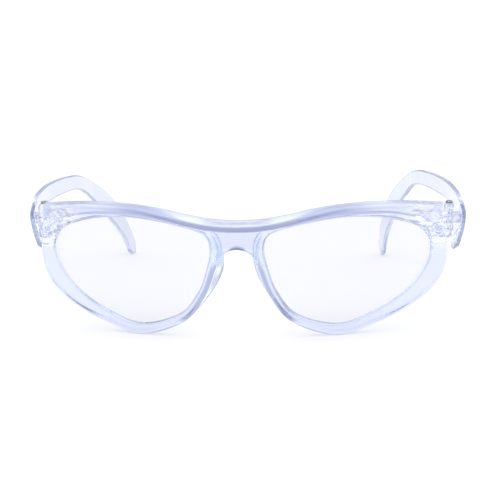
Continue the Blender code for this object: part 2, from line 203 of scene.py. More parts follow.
# Temple: x, y and z of the middle, half height, how far the upper edge curls in,
# how far the lower edge slants in, thickness
TEMPLE_POINTS = (
    (77.2, 29.4, 33.6, 7.4, 1.0, 2.5, 1.3),
    (77.5, 33.0, 33.2, 8.7, 1.3, 3.9, 1.5),
    (77.6, 38.0, 33.6, 8.2, 1.2, 3.6, 1.6),
    (77.8, 43.5, 34.8, 6.5, 0.9, 2.2, 1.8),
    (78.1, 50.0, 36.9, 4.5, 0.4, 0.7, 1.9),
    (78.0, 57.0, 38.1, 3.6, 0.2, 0.0, 1.9),
    (76.3, 71.0, 39.2, 3.5, 0.0, 0.0, 1.9),
    (73.1, 84.0, 39.8, 3.3, 0.0, 0.0, 1.9),
    (69.8, 95.0, 39.7, 3.0, 0.0, 0.0, 1.9),
    (68.2, 100.0, 39.2, 2.9, 0.0, 0.0, 1.9),
    (66.7, 105.0, 38.1, 2.9, 0.0, 0.0, 1.9),
    (65.4, 110.0, 36.3, 3.1, 0.0, 0.0, 1.9),
    (64.1, 115.0, 34.0, 3.4, 0.0, 0.0, 1.9),
    (61.0, 124.5, 28.5, 3.9, 0.0, 0.0, 1.9),
    (57.6, 135.0, 21.1, 4.0, 0.0, 0.0, 1.9),
    (54.6, 144.5, 12.3, 3.7, 0.0, 0.0, 1.9),
    (53.0, 151.0, 3.6, 3.4, 0.0, 0.0, 1.9),
    (52.5, 153.4, 0.0, 3.4, 0.0, 0.0, 1.8),
)
TEMPLE_CORNER = 0.7
TEMPLE_CORNER_SHARE = 0.45  # the corner's radius is at most this share of the thickness or half height
CORNER_TURNS = 7
SIDE_POINTS = 14  # up each side of the section
UPRIGHT_SHARE = 0.5  # of the half height above the middle, the level where the section stands upright
SLANT_POWER = 1.6  # 1 would lean straight in below that level, more curves in
TIP_ROUND = 2.4  # how much of the length, seen from above, the rounded tip takes
TIP_TURNS = (8, 80, 10)  # degrees of the first and last rings round the tip, and how many there are
WEB_HALF_WIDTH = 1.1
WEB_REACH = 4.2  # from the hinge axis out into the blade
HOOK_LEVEL = 38.0  # the temples' middle starts to drop behind the ear below this z
HOOK_LEAN = {"right": -0.08, "left": 0.11}  # how far the hook leans outwards for each millimetre it drops
ARM_RISE = {"right": -0.009, "left": 0.02}  # how far the arm rises for each millimetre behind the hinge
REST_SWING = {"right": -4.6, "left": 4.2}  # degrees each temple lies folded in (+) or spread (-) at rest
RELIEF_FADE = (4, 12)  # from the hinge axis back, where the mould's crumpled marks fade out

# Camera
CAMERA_YAW = 4.83
CAMERA_ELEVATION = 10.85
CAMERA_ROLL = -0.86
CAMERA_DISTANCE = 0.6
CAMERA_TARGET = (0.00258, (25.0 - MIDDLE_Y) * MM, 0.02615)
CAMERA_LENS = 121.8
SENSOR = 36.0
NEAREST, FARTHEST = 0.01, 50.0  # what the camera can see, in metres

# Floor
FLOOR_HALF = 9.0
FLOOR_LEVEL = -0.02 * MM  # a hair below the feet
FLOOR_GLOW = 0.56
FLOOR_TONES = (0.44, 0.46)
FLOOR_GRAIN_SCALE = 300.0
FLOOR_ROUGHNESS = 0.9
FLOOR_SHEEN = 0.1

# The tent's brightness from straight below (0) to straight above (1)
TENT_STOPS = (
    (0.0, (0.95, 0.96, 1.0)),
    (0.06, (0.85, 0.86, 0.93)),
    (0.2, (0.42, 0.43, 0.54)),
    (0.42, (0.48, 0.49, 0.6)),
    (0.62, (1.05, 1.05, 1.08)),
    (1.0, (1.3, 1.3, 1.3)),
)
TENT_STRENGTH = 1.25

# Clear plastic. painted_glow is an even glow painted on for the tent's light that it scatters back out
# wherever it is crossed, wave the depth of its surface's flow marks in metres, smooth and worn its least
# and greatest roughness.
FRAME_LOOK = {
    "tints": ((0.66, 0.7, 0.83), (0.72, 0.75, 0.86)),
    "painted_glow": 0.08,
    "wave": 2e-5,
    "smooth": 0.02,
    "worn": 0.05,
    # the mesh attribute with the front's painted light and shade, and how matt it is in its alpha
    "painted_light_and_matt": "painted_light_and_matt",
}
TEMPLE_LOOK = {
    "tints": ((0.6, 0.62, 0.675), (0.63, 0.65, 0.7)),
    "painted_glow": 0.11,
    "wave": 2e-5,
    "smooth": 0.03,
    "worn": 0.06,
}
LENS_LOOK = {
    "tints": ((0.87, 0.875, 0.895), (0.885, 0.89, 0.905)),
    "painted_glow": 0.0,
    "wave": 2e-6,
    "smooth": 0.0,
    "worn": 0.012,
}
PLASTIC_IOR = 1.585
NOISE_REACH = (0.35, 0.7)  # the noise values that stand for the least and the greatest
# colour of the plastic's painted glow
PAINTED_GLOW_COLOUR = (0.66, 0.7, 0.9)
DEPTH_COLOUR = (0.3, 0.45, 0.85)
DEPTH_TINT = 20.0
DRIFT_SCALE = 140.0  # features to the metre, as in every scale below
STREAK_SCALE = 420.0
STREAK_STRETCH = (1.0, 1.0, 0.35)
FLOW_SCALE = 55.0
FINE_SCALE = 1500.0
FINE_SHARE = 0.03  # of the flow marks' depth
CRUMPLE_SCALE = 260.0
CRUMPLE_TURN = (0.0, 0.6, 0.3)
CRUMPLE_STRETCH = (1.0, 1.0, 2.2)
CRUMPLE_DEPTH = 6e-4

# Turned steel
STEEL_TONES = ((0.3, (0.16, 0.16, 0.18)), (0.62, (0.46, 0.46, 0.49)))  # noise value and colour
STEEL_GRAIN_SCALE = 1300.0
STEEL_TURNING_SCALE = 900.0
STEEL_TURNING_STRETCH = (0.4, 0.4, 9.0)  # long round the axis and short along it
STEEL_TURNING_REACH = (0.3, 0.7)
STEEL_ROUGHNESS = (0.2, 0.42)
STEEL_TURNING_DEPTH = 1.5e-5

# The front's painted light and shade by zone, standing in for what the clear plastic refracts and reflects:
# above 1 is painted clearer than the rest of the moulding, below 1 is painted deeper
FLANGE_PAINTED_LIGHT = (1.5, 1.42, 1.2)
EDGE_PAINTED_SHADE = (0.26, 0.28, 0.38)
WALL_PAINTED_SHADE = (0.28, 0.33, 0.48)
CORNER_PAINTED_LIGHT = (1.1, 1.2, 1.15)
RIDGE_PAINTED_SHADE = (0.43, 0.47, 0.6)
CREST_PAINTED_HIGHLIGHT = (1.4, 1.35, 1.15)
BRIDGE_PAINTED_SHADE = (0.83, 0.81, 0.94)
HINGE_PAINTED_LIGHT = (1.22, 1.18, 1.05)
SATIN = 0.3  # roughness of the brow; the moulding behind the bridge has twice as much

# Where each zone fades in or out, as (from, to) in millimetres: OFF the middle, DEPTH behind the face,
# LEVEL of the height, and some from an edge of their own
NOSE_FACING = (0.35, 0.6)  # share of the rim's outward direction that points at the nose
FLANGE_DEPTH = (RIM_DEPTH, RIM_DEPTH + 1.0)
FLANGE_TOP_LEVEL = (27, 30)
FREE_EDGE = (-1.6, -1.1)  # from the end of the rear lip
WALL_EDGE = (-2.2, -1.3)  # from the rim's outer edge
WALL_DEPTH = (1.5, 2.5)
WALL_TOP_LEVEL = (23, 27)
WALL_FOOT_LEVEL = (3, 6)
BRIDGE_FACE_DEPTH = (0.5, 1.0)
BRIDGE_FOOT_LEVEL = (30, 31)
BRIDGE_TOP_EDGE = (-0.5, 0.0)  # from the ridge's foot
BRIDGE_OFF = (7, 10)
CORNER_OFF = ((4, 5.5), (9, 11))
CORNER_LEVEL = ((22, 25), (33, 36))
CORNER_REAR_DEPTH = (2.0, 3.0)
ARCH_MARK = (1.2, 3.6)  # height of the painted shade over the arch, and half its width
ARCH_EDGE = (-0.4, 0.0)
ARCH_OFF = (3, 3.6)
RIDGE_FRONT = (0.0, 0.3)  # in front of the face
CREST_EDGE = (-0.3, 0.1)  # from the ridge's front edge
CREST_LEVEL = (38, 39)
CREST_MIDDLE_OFF = (15, 30)
CREST_SIDE_OFF = (36, 50)
DARK_SHARE = (0.3, 0.65)  # of the ridge's height at which its band of painted shade lies, at the middle and outside
DARK_CLIMB_OFF = (10, 34)
DARK_WIDTH = (0.2, 0.4)
DARK_OFF = (34, 52)
CRUMPLE_OFF = (54, 62)
CRUMPLE_LEVEL = (26, 30)


# ---------------------------------------------------------------- mesh helpers


def smooth_curve(points, steps, closed=False):
    """Catmull-Rom curve through the points, with this many steps from each to the next."""
    known = np.array(points, float)
    count = len(known)
    made = []
    for i in range(count if closed else count - 1):
        if closed:
            before, here, there, after = (known[(i + k) % count] for k in (-1, 0, 1, 2))
        else:
            here, there = known[i], known[i + 1]
            before = known[i - 1] if i else 2 * here - there
            after = known[i + 2] if i + 2 < count else 2 * there - here
        for t in np.arange(steps) / steps:
            made.append(
                here
                + 0.5 * t * (there - before)
                + t**2 * (before - 2.5 * here + 2 * there - 0.5 * after)
                + t**3 * (1.5 * (here - there) + 0.5 * (after - before))
            )
    if not closed:
        made.append(known[-1])
    return np.array(made)


def length_along(curve):
    """Distance from the curve's start to each of its points, measured over its first two values."""
    steps = np.linalg.norm(np.diff(curve[:, :2], axis=0), axis=1)
    return np.concatenate([[0], np.cumsum(steps)])


def sampled(curve, distances):
    """The curve's points at these distances from its start."""
    at = length_along(curve)
    return np.column_stack([np.interp(distances, at, column) for column in curve.T])


def spaced(curve, count, closed=False):
    """The curve again with this many points at equal distances."""
    whole = np.vstack([curve, curve[:1]]) if closed else curve
    made = sampled(whole, np.linspace(0, length_along(whole)[-1], count + 1 if closed else count))
    return made[:-1] if closed else made


def face_point(x, z, depth):
    """A point this far behind the front's curved face."""
    return (x, x * x / (2 * FACE_RADIUS) + depth, z)


def mesh_object(name, points, faces):
    """An object from points in design millimetres, with its faces turned outwards."""
    mesh = bpy.data.meshes.new(name)
    mesh.from_pydata([(x * MM, (y - MIDDLE_Y) * MM, (z + STAND) * MM) for x, y, z in points], [], faces)
    bm = bmesh.new()
    bm.from_mesh(mesh)
    bmesh.ops.recalc_face_normals(bm, faces=bm.faces)
    bm.to_mesh(mesh)
    bm.free()
    obj = bpy.data.objects.new(name, mesh)
    bpy.context.scene.collection.objects.link(obj)
    return obj


def loft(name, rings, closed=False):
    """A solid skin through rings of equal point counts, capped at its ends unless it closes on itself."""
    count, size = len(rings), len(rings[0])
    points = [tuple(p) for ring in rings for p in ring]
    faces = []
    for i in range(count if closed else count - 1):
        a, b = i * size, (i + 1) % count * size
        for j in range(size):
            k = (j + 1) % size
            faces.append((a + j, a + k, b + k, b + j))
    if not closed:
        faces.append(tuple(range(size)))
        faces.append(tuple(range((count - 1) * size, count * size)))
    return mesh_object(name, points, faces)


def cylinder(name, x, y, low, high, radius, steps=ROUND_STEPS):
    turns = [2 * math.pi * (k + 0.5) / steps for k in range(steps)]
    circle = [(x + radius * math.cos(turn), y + radius * math.sin(turn)) for turn in turns]
    return loft(name, [[(*point, z) for point in circle] for z in (low, high)])


def box(name, low, high):
    (x0, y0, z0), (x1, y1, z1) = low, high
    return loft(name, [[(x0, y0, z), (x1, y0, z), (x1, y1, z), (x0, y1, z)] for z in (z0, z1)])


def applied(obj):
    """The object with its modifiers baked into its mesh."""
    graph = bpy.context.evaluated_depsgraph_get()
    mesh = bpy.data.meshes.new_from_object(obj.evaluated_get(graph))
    old = obj.data
    obj.modifiers.clear()
    obj.data = mesh
    bpy.data.meshes.remove(old)
    return obj


def boolean(target, tool, operation):
    """Unites or cuts at once, and removes the tool."""
    step = target.modifiers.new("cut", "BOOLEAN")
    step.operation = operation
    step.object = tool
    step.solver = "MANIFOLD"
    applied(target)
    bpy.data.objects.remove(tool)


def joined(name, objects):
    """Several closed meshes in one object, still overlapping."""
    bm = bmesh.new()
    for obj in objects:
        bm.from_mesh(obj.data)
        bpy.data.objects.remove(obj)
    mesh = bpy.data.meshes.new(name)
    bm.to_mesh(mesh)
    bm.free()
    made = bpy.data.objects.new(name, mesh)
    bpy.context.scene.collection.objects.link(made)
    return made


def moulded(obj):
    """Fuses overlapping shapes and rounds every edge and corner a little, as a mould does."""
    step = obj.modifiers.new("fuse", "REMESH")
    step.mode = "VOXEL"
    step.voxel_size = VOXEL * MM
    soften = obj.modifiers.new("soften", "SMOOTH")
    soften.factor = SMOOTHING_SHARE
    soften.iterations = SMOOTHING_ROUNDS
    return applied(obj)


def shade(obj, look, angle=MOULD_SHARP):
    obj.data.materials.clear()
    obj.data.materials.append(look)
    obj.data.shade_smooth()
    obj.data.set_sharp_from_angle(angle=math.radians(angle))
    return obj


# ---------------------------------------------------------------- front


def opening_outline():
    """Round one lens opening: x, z, outward x, outward z, rim width, lip length, lip splay."""
    curve = spaced(smooth_curve(RIM_POINTS, RIM_CURVE_STEPS, closed=True), OUTLINE_STEPS, closed=True)
    along = np.roll(curve[:, :2], -1, axis=0) - np.roll(curve[:, :2], 1, axis=0)
    along /= np.linalg.norm(along, axis=1)[:, None]
    return np.column_stack([curve[:, :2], along[:, 1], -along[:, 0], curve[:, 2:]])


def rim_section(width, lip, splay):
    """Closed section of the rim as (distance out from the opening, depth behind the face)."""
    rear = RIM_DEPTH + lip
    shoulder_in, shoulder_front, shoulder_side = RIM_SHOULDER
    edge_across, edge_along = LIP_EDGE
    inside_free, inside_root = LIP_INSIDE
    return (
        (0.0, RIM_EDGE * RIM_EDGE_SHARE),
        (RIM_EDGE, 0.0),
        (width - shoulder_in, shoulder_front),
        (width, shoulder_side),
        (width, RIM_DEPTH - RIM_ROOT),
        (width + splay, rear - edge_along),
        (width + splay - edge_across, rear),
        (width + splay - LIP_THICKNESS + inside_free, rear),
        (width + LIP_ROOT_SPLAY * splay - LIP_THICKNESS - inside_root, RIM_DEPTH),
        (RIM_REAR_EDGE, RIM_DEPTH),
        (0.0, RIM_DEPTH - RIM_REAR_EDGE),
    )


def rim(side):
    sign = SIDES[side]
    rings = []
    for x, z, out_x, out_z, width, lip, splay in opening_outline():
        trim = LIP_TRIM * step_up(x, *LIP_TRIM_OFF)
        rings.append(
            [
                face_point(sign * (x + out * out_x), z + out * out_z, depth)
                for out, depth in rim_section(width, lip - trim, splay - trim)
            ]
        )
    return loft("rim", rings, closed=True)


def split_in_columns(obj, strips):
    """Cuts a plate's big faces into upright strips, so that they keep the face's curve."""
    bm = bmesh.new()
    bm.from_mesh(obj.data)
    low = min(v.co.x for v in bm.verts)
    high = max(v.co.x for v in bm.verts)
    for x in np.linspace(low, high, strips)[1:-1]:
        bmesh.ops.bisect_plane(
            bm,
            geom=bm.verts[:] + bm.edges[:] + bm.faces[:],
            plane_co=(x, 0, 0),
            plane_no=(1, 0, 0),
            dist=STRIP_JOIN,
        )
    bm.to_mesh(obj.data)
    bm.free()


def curved_plate(name, side, layers, strips):
    """A plate that follows the face's curve: layers are (how far the opening's outline is grown, depth)."""
    sign = SIDES[side]
    outline = opening_outline()
    rings = [
        [face_point(sign * (x + grown * ox), z + grown * oz, depth) for x, z, ox, oz, *_ in outline]
        for grown, depth in layers
    ]
    made = loft(name, rings)
    split_in_columns(made, strips)
    return made


def brow():
    half = spaced(smooth_curve(BROW_POINTS, BROW_CURVE_STEPS), BROW_STEPS)
    whole = np.vstack([half[:0:-1] * (-1, 1, 1, 1, 1), half])
    root_in, root_down = BROW_ROOT
    nose_back, nose_up, nose_down = BROW_NOSE
    heel_forward, heel_rear, heel_front = BROW_HEEL
    rings = []
    for x, foot, edge, top, stand in whole:
        section = (
            (root_in, foot - root_down),
            (BROW_FOOT_DEPTH, foot),
            (-stand, edge - nose_down),
            (-stand + nose_back, edge + nose_up),
            (RIM_DEPTH - BROW_TOP_EDGE, top),
            (RIM_DEPTH, top - BROW_TOP_EDGE),
            (RIM_DEPTH, foot + heel_rear),
            (RIM_DEPTH - heel_forward, foot + heel_front),
        )
        rings.append([face_point(x, z, depth) for depth, z in section])
    return loft("brow", rings)


def bridge():
    half = smooth_curve(ARCH_POINTS, ARCH_STEPS)
    arch = np.vstack([half[:0:-1] * (-1, 1), half])
    front_rise, front_depth = BRIDGE_FRONT_EDGE
    rear_rise, rear_in = BRIDGE_REAR_EDGE
    rings = []
    for x, z in arch:
        section = (
            (BRIDGE_FACE, z + front_rise),
            (BRIDGE_FACE, BRIDGE_TOP),
            (BRIDGE_DEPTH, BRIDGE_TOP),
            (BRIDGE_DEPTH, z + rear_rise),
            (BRIDGE_DEPTH - rear_in, z),
            (front_depth, z),
        )
        rings.append([face_point(x, height, depth) for depth, height in section])
    return loft("bridge", rings)


def end_piece(side):
    """The arm of the front that turns back from the rim's upper corner to the hinge barrel."""
    sign = SIDES[side]
    path = spaced(smooth_curve(END_POINTS, END_CURVE_STEPS), END_STEPS)
    along = np.gradient(path[:, :2], axis=0)
    along /= np.linalg.norm(along, axis=1)[:, None]
    rings = []
    for (x, y, low, high, thick), (tx, ty) in zip(path, along):
        out_x, out_y = ty * thick / 2, -tx * thick / 2
        inner = 1 - 2 * END_CORNER / thick
        corners = (
            (1, low + END_CORNER),
            (1, high - END_CORNER),
            (inner, high),
            (-inner, high),
            (-1, high - END_CORNER),
            (-1, low + END_CORNER),
            (-inner, low),
            (inner, low),
        )
        rings.append([(sign * (x + k * out_x), y + k * out_y, z) for k, z in corners])
    return loft("end_piece", rings)


def cut_hinge(front, side):
    """Opens the barrel for the temple's knuckle, the screw, its head and its nut."""
    x = SIDES[side] * HINGE_X
    cuts = (
        (MIDDLE_LOW - HINGE_GAP, MIDDLE_HIGH + HINGE_GAP, SLOT_RADIUS, ROUND_STEPS),
        (BARREL_LOW - TOOL_PAST, BARREL_HIGH + TOOL_PAST, HOLE_RADIUS, ROUND_STEPS),
        (BARREL_HIGH - HEAD_SEAT, BARREL_HIGH + 2 * TOOL_PAST, HEAD_RADIUS + HINGE_GAP, ROUND_STEPS),
        (BARREL_LOW - 2 * TOOL_PAST, BARREL_LOW + NUT_POCKET, NUT_RADIUS + HINGE_GAP, NUT_SIDES),
    )
    for low, high, radius, steps in cuts:
        boolean(front, cylinder("tool", x, HINGE_Y, low, high, radius, steps), "DIFFERENCE")


def step_up(value, low, high):
    """0 below low, 1 above high, smooth between."""
    share = np.clip((value - low) / (high - low), 0, 1)
    return share * share * (3 - 2 * share)


def step_down(value, low, high):
    return 1 - step_up(value, low, high)


def blended(base, share, tint_and_painted_light):
    return base + share[:, None] * (np.array(tint_and_painted_light) - base)


def store_relief(obj, values):
    """How strongly the crumpled marks of the mould show at each point."""
    stored = obj.data.attributes.new("relief", "FLOAT", "POINT")
    stored.data.foreach_set("value", values)


def paint_nose_light_and_shade(tint_and_painted_light, off, depth, height):
    """Painted light on the nose flanges, painted shade on their free edge, and painted shade on the nose
    side of each rim.
    """
    ring = opening_outline()
    near = np.argmin((off[:, None] - ring[:, 0]) ** 2 + (height[:, None] - ring[:, 1]) ** 2, axis=1)
    out = (off - ring[near, 0]) * ring[near, 2] + (height - ring[near, 1]) * ring[near, 3]
    width, rear = ring[near, 4], RIM_DEPTH + ring[near, 5]
    nose_side = step_up(-ring[near, 2], *NOSE_FACING)
    flange = nose_side * step_up(depth, *FLANGE_DEPTH) * step_down(height, *FLANGE_TOP_LEVEL)
    tint_and_painted_light = blended(tint_and_painted_light, flange, FLANGE_PAINTED_LIGHT)
    tint_and_painted_light = blended(tint_and_painted_light, flange * step_up(depth - rear, *FREE_EDGE), EDGE_PAINTED_SHADE)
    wall = nose_side * step_up(out - width, *WALL_EDGE) * step_down(depth, *WALL_DEPTH)
    wall *= step_down(height, *WALL_TOP_LEVEL) * step_up(height, *WALL_FOOT_LEVEL)
    return blended(tint_and_painted_light, wall, WALL_PAINTED_SHADE)


def paint_bridge_light_and_shade(tint_and_painted_light, off, depth, height, foot, corner):
    """Painted shade on the bridge's flat face, painted light on the corners behind it, and painted shade in
    a dark mark over its arch.
    """
    face = step_down(depth, *BRIDGE_FACE_DEPTH) * step_up(height, *BRIDGE_FOOT_LEVEL)
    face *= step_down(height - foot, *BRIDGE_TOP_EDGE) * step_down(off, *BRIDGE_OFF)
    tint_and_painted_light = blended(tint_and_painted_light, face, BRIDGE_PAINTED_SHADE)
    tint_and_painted_light = blended(tint_and_painted_light, corner, CORNER_PAINTED_LIGHT)
    high, half = ARCH_MARK
    rise = height - np.interp(off, *np.array(ARCH_POINTS).T)
    arch = step_down(rise - high * (1 - (off / half) ** 4), *ARCH_EDGE) * step_down(off, *ARCH_OFF)
    return blended(tint_and_painted_light, arch, EDGE_PAINTED_SHADE)


def paint_light_shade_and_matt(front):
    """Stores painted light and shade on the front's points, and in its alpha how matt it is there."""
    mesh = front.data
    place = np.empty(len(mesh.vertices) * 3)
    mesh.vertices.foreach_get("co", place)
    x, y, z = place.reshape(-1, 3).T / MM
    depth = y + MIDDLE_Y - x * x / (2 * FACE_RADIUS)
    height = z - STAND
    off = np.abs(x)
    half = smooth_curve(BROW_POINTS, BROW_PAINT_STEPS)
    foot, edge, top = (np.interp(off, half[:, 0], half[:, k]) for k in (1, 2, 3))
    (off_in, off_out), (level_in, level_out) = CORNER_OFF, CORNER_LEVEL
    corner = step_up(off, *off_in) * step_down(off, *off_out)
    corner *= step_up(height, *level_in) * step_down(height, *level_out)
    corner *= step_up(depth, *CORNER_REAR_DEPTH)
    tint_and_painted_light = paint_nose_light_and_shade(np.ones((len(x), 3)), off, depth, height)
    tint_and_painted_light = paint_bridge_light_and_shade(tint_and_painted_light, off, depth, height, foot, corner)
    ridge = step_up(-depth, *RIDGE_FRONT)
    crest = step_up(height - edge, *CREST_EDGE) * step_up(height, *CREST_LEVEL)
    light = 1 - step_up(off, *CREST_MIDDLE_OFF) * step_down(off, *CREST_SIDE_OFF)
    # painted highlight along the brow's crest, fading out beside the middle
    tint_and_painted_light = blended(tint_and_painted_light, crest * light, CREST_PAINTED_HIGHLIGHT)
    # a band of painted shade across the brow ridge
    low, high = DARK_SHARE
    middle = low + (high - low) * step_up(off, *DARK_CLIMB_OFF)
    share = (height - foot) / (top - foot)
    dark = np.maximum(ridge, crest) * step_down(np.abs(share - middle), *DARK_WIDTH)
    tint_and_painted_light = blended(tint_and_painted_light, dark * step_down(off, *DARK_OFF), RIDGE_PAINTED_SHADE)
    # painted light round the hinge, where the crumpled facets are
    crumple = step_up(off, *CRUMPLE_OFF) * step_up(height, *CRUMPLE_LEVEL)
    tint_and_painted_light = blended(tint_and_painted_light, crumple, HINGE_PAINTED_LIGHT)
    matt = SATIN * np.maximum(np.maximum(ridge, crest), 2 * corner)
    stored = mesh.attributes.new("painted_light_and_matt", "FLOAT_COLOR", "POINT")
    stored.data.foreach_set("color", np.column_stack([tint_and_painted_light, matt]).ravel())
    store_relief(front, crumple)


def front_moulding(look):
    ridge = brow()
    boolean(ridge, bridge(), "UNION")
    opening = [(OPENING_MARGIN, depth) for depth in OPENING_REACH]
    for side in SIDES:
        boolean(ridge, curved_plate("tool", side, opening, OPENING_STRIPS), "DIFFERENCE")
    shapes = [ridge]
    for side, sign in SIDES.items():
        shapes += [
            rim(side),
            end_piece(side),
            cylinder("barrel", sign * HINGE_X, HINGE_Y, BARREL_LOW, BARREL_HIGH, KNUCKLE_RADIUS),
        ]
    front = moulded(joined("front_moulding", shapes))
    groove = ((GROOVE_DEPTH, GROOVE_FRONT), (GROOVE_DEPTH, GROOVE_FRONT + GROOVE_WIDTH))
    for side in SIDES:
        boolean(front, curved_plate("tool", side, groove, GROOVE_STRIPS), "DIFFERENCE")
        cut_hinge(front, side)
    boolean(front, box("tool", *FOOT_CUT), "DIFFERENCE")
    paint_light_shade_and_matt(front)
    return shade(front, look)


def lens(side, look):
    front = GROOVE_FRONT + (GROOVE_WIDTH - LENS_THICKNESS) / 2
    back = front + LENS_THICKNESS
    layers = (
        (LENS_OVERLAP - LENS_BEVEL, front),
        (LENS_OVERLAP, front + LENS_BEVEL),
        (LENS_OVERLAP, back - LENS_BEVEL),
        (LENS_OVERLAP - LENS_BEVEL, back),
    )
    return shade(curved_plate("clear_lens_" + side, side, layers, LENS_STRIPS), look, LENS_SHARP)


# ---------------------------------------------------------------- temples


def temple_section(half_height, curl, slant, thick):
    """Closed section of the temple as (outward, upward), with rounded corners."""
    half = thick / 2
    corner = min(TEMPLE_CORNER, TEMPLE_CORNER_SHARE * thick, TEMPLE_CORNER_SHARE * half_height)
    edge = half_height - corner
    turns = np.radians(np.linspace(0, 90, CORNER_TURNS))
    side = [(half, v * edge) for v in np.linspace(-1, 1, SIDE_POINTS)]
    top = [(half - corner + corner * math.cos(t), edge + corner * math.sin(t)) for t in turns[1:]]
    low = [(out, -up) for out, up in top[::-1]]
    ring = low + side + top
    ring += [(-out, up) for out, up in ring[::-1]]
    made = []
    for out, up in ring:
        share = up / half_height
        above = max(0.0, (share - UPRIGHT_SHARE) / (1 - UPRIGHT_SHARE))
        below = max(0.0, (UPRIGHT_SHARE - share) / (1 + UPRIGHT_SHARE))
        made.append((out - curl * above**2 - slant * below**SLANT_POWER, up))
    return made


def temple_path():
    """Rings' places along the temple, the last ones shrinking to round its tip off."""
    curve = smooth_curve(TEMPLE_POINTS, TEMPLE_CURVE_STEPS)
    whole = length_along(curve)[-1]
    turns = np.radians(np.linspace(*TIP_TURNS))
    straight = np.linspace(0, whole - TIP_ROUND, TEMPLE_STEPS)
    path = sampled(curve, np.concatenate([straight, whole - TIP_ROUND * (1 - np.sin(turns))]))
    path[TEMPLE_STEPS:, 3] *= np.cos(turns)
    return path


def sprung(side, y, z):
    """How far the temple has sprung outwards and upwards from the shape it would mirror its fellow in."""
    drop = max(0.0, HOOK_LEVEL - z)
    back = max(0.0, y - HINGE_Y)
    return HOOK_LEAN[side] * drop, ARM_RISE[side] * back * min(1.0, z / HOOK_LEVEL)


def temple(side, look):
    sign = SIDES[side]
    path = temple_path()
    along = np.gradient(path[:, :3], axis=0)
    rings = []
    for (x, y, z, *shape), direction in zip(path, along):
        direction = Vector(direction).normalized()
        out = Vector((direction.y, -direction.x, 0)).normalized()
        up = out.cross(direction)
        lean, rise = sprung(side, y, z)
        ring = []
        for outward, upward in temple_section(*shape):
            point = Vector((x, y, z)) + out * outward + up * upward
            ring.append((sign * (point.x + lean), point.y, point.z + rise))
        rings.append(ring)
    made = loft("arm_" + side, rings)
    x = sign * HINGE_X
    ends = sorted((x, sign * (HINGE_X + WEB_REACH)))
    web = box(
        "tool",
        (ends[0], HINGE_Y - WEB_HALF_WIDTH, MIDDLE_LOW),
        (ends[1], HINGE_Y + WEB_HALF_WIDTH, MIDDLE_HIGH),
    )
    boolean(made, web, "UNION")
    boolean(made, cylinder("tool", x, HINGE_Y, MIDDLE_LOW, MIDDLE_HIGH, KNUCKLE_RADIUS), "UNION")
    low, high = MIDDLE_LOW - TOOL_PAST, MIDDLE_HIGH + TOOL_PAST
    boolean(made, cylinder("tool", x, HINGE_Y, low, high, HOLE_RADIUS), "DIFFERENCE")
    back = np.array([vertex.co.y for vertex in made.data.vertices]) / MM + MIDDLE_Y - HINGE_Y
    store_relief(made, 1 - step_up(back, *RELIEF_FADE))
    pivot = Matrix.Translation((x * MM, (HINGE_Y - MIDDLE_Y) * MM, 0))
    swing = Matrix.Rotation(sign * math.radians(REST_SWING[side]), 4, "Z")
    made.data.transform(pivot @ swing @ pivot.inverted())
    return shade(made, look, TEMPLE_SHARP)


# ---------------------------------------------------------------- hinge hardware


def turned(name, x, y, profile):
    """A solid turned about an upright axis, from (radius, z) pairs running from bottom to top."""
    turns = [2 * math.pi * k / ROUND_STEPS for k in range(ROUND_STEPS)]
    circle = [(math.cos(turn), math.sin(turn)) for turn in turns]
    return loft(name, [[(x + radius * u, y + radius * v, z) for u, v in circle] for radius, z in profile])


def screw(side, look):
    x = SIDES[side] * HINGE_X
    seat = BARREL_HIGH - HEAD_SEAT + HINGE_GAP
    crown = seat + HEAD_HEIGHT
    profile = [
        (SCREW_RADIUS - SCREW_BEVEL, BARREL_LOW + SCREW_FOOT),
        (SCREW_RADIUS, BARREL_LOW + SCREW_FOOT + SCREW_BEVEL),
        (SCREW_RADIUS, seat),
        (HEAD_RADIUS - HEAD_EDGE, seat),
        (HEAD_RADIUS, seat + HEAD_EDGE),
        (HEAD_RADIUS, seat + HEAD_SIDE * HEAD_HEIGHT),
    ]
    for turn in np.radians(np.linspace(*DOME_TURNS)):
        radius = (1 - DOME_REACH + DOME_REACH * math.cos(turn)) * HEAD_RADIUS
        profile.append((radius, seat + (HEAD_SIDE + DOME_RISE * math.sin(turn)) * HEAD_HEIGHT))
    profile.append((HEAD_FLAT * HEAD_RADIUS, crown))
    made = turned("screw_" + side, x, HINGE_Y, profile)
    width, depth = DRIVER_SLOT
    reach = 2 * TOOL_PAST
    slot = box(
        "tool",
        (x - reach, HINGE_Y - width / 2, crown - depth),
        (x + reach, HINGE_Y + width / 2, crown + TOOL_PAST),
    )
    boolean(made, slot, "DIFFERENCE")
    return shade(made, look)


def nut(side, look):
    x = SIDES[side] * HINGE_X
    turns = [2 * math.pi * (k + 0.5) / NUT_SIDES for k in range(NUT_SIDES)]
    top = BARREL_LOW + NUT_HEIGHT
    rings = []
    for radius, z in (
        (NUT_RADIUS - NUT_BEVEL, BARREL_LOW),
        (NUT_RADIUS, BARREL_LOW + NUT_BEVEL),
        (NUT_RADIUS, top - NUT_BEVEL),
        (NUT_RADIUS - NUT_BEVEL, top),
    ):
        rings.append([(x + radius * math.cos(t), HINGE_Y + radius * math.sin(t), z) for t in turns])
    made = loft("nut_" + side, rings)
    low, high = BARREL_LOW - TOOL_PAST, top + TOOL_PAST
    boolean(made, cylinder("tool", x, HINGE_Y, low, high, HOLE_RADIUS), "DIFFERENCE")
    return shade(made, look)


# ---------------------------------------------------------------- materials


def new_material(name):
    made = bpy.data.materials.new(name)
    made.use_nodes = True
    tree = made.node_tree
    return made, tree, tree.nodes["Principled BSDF"]


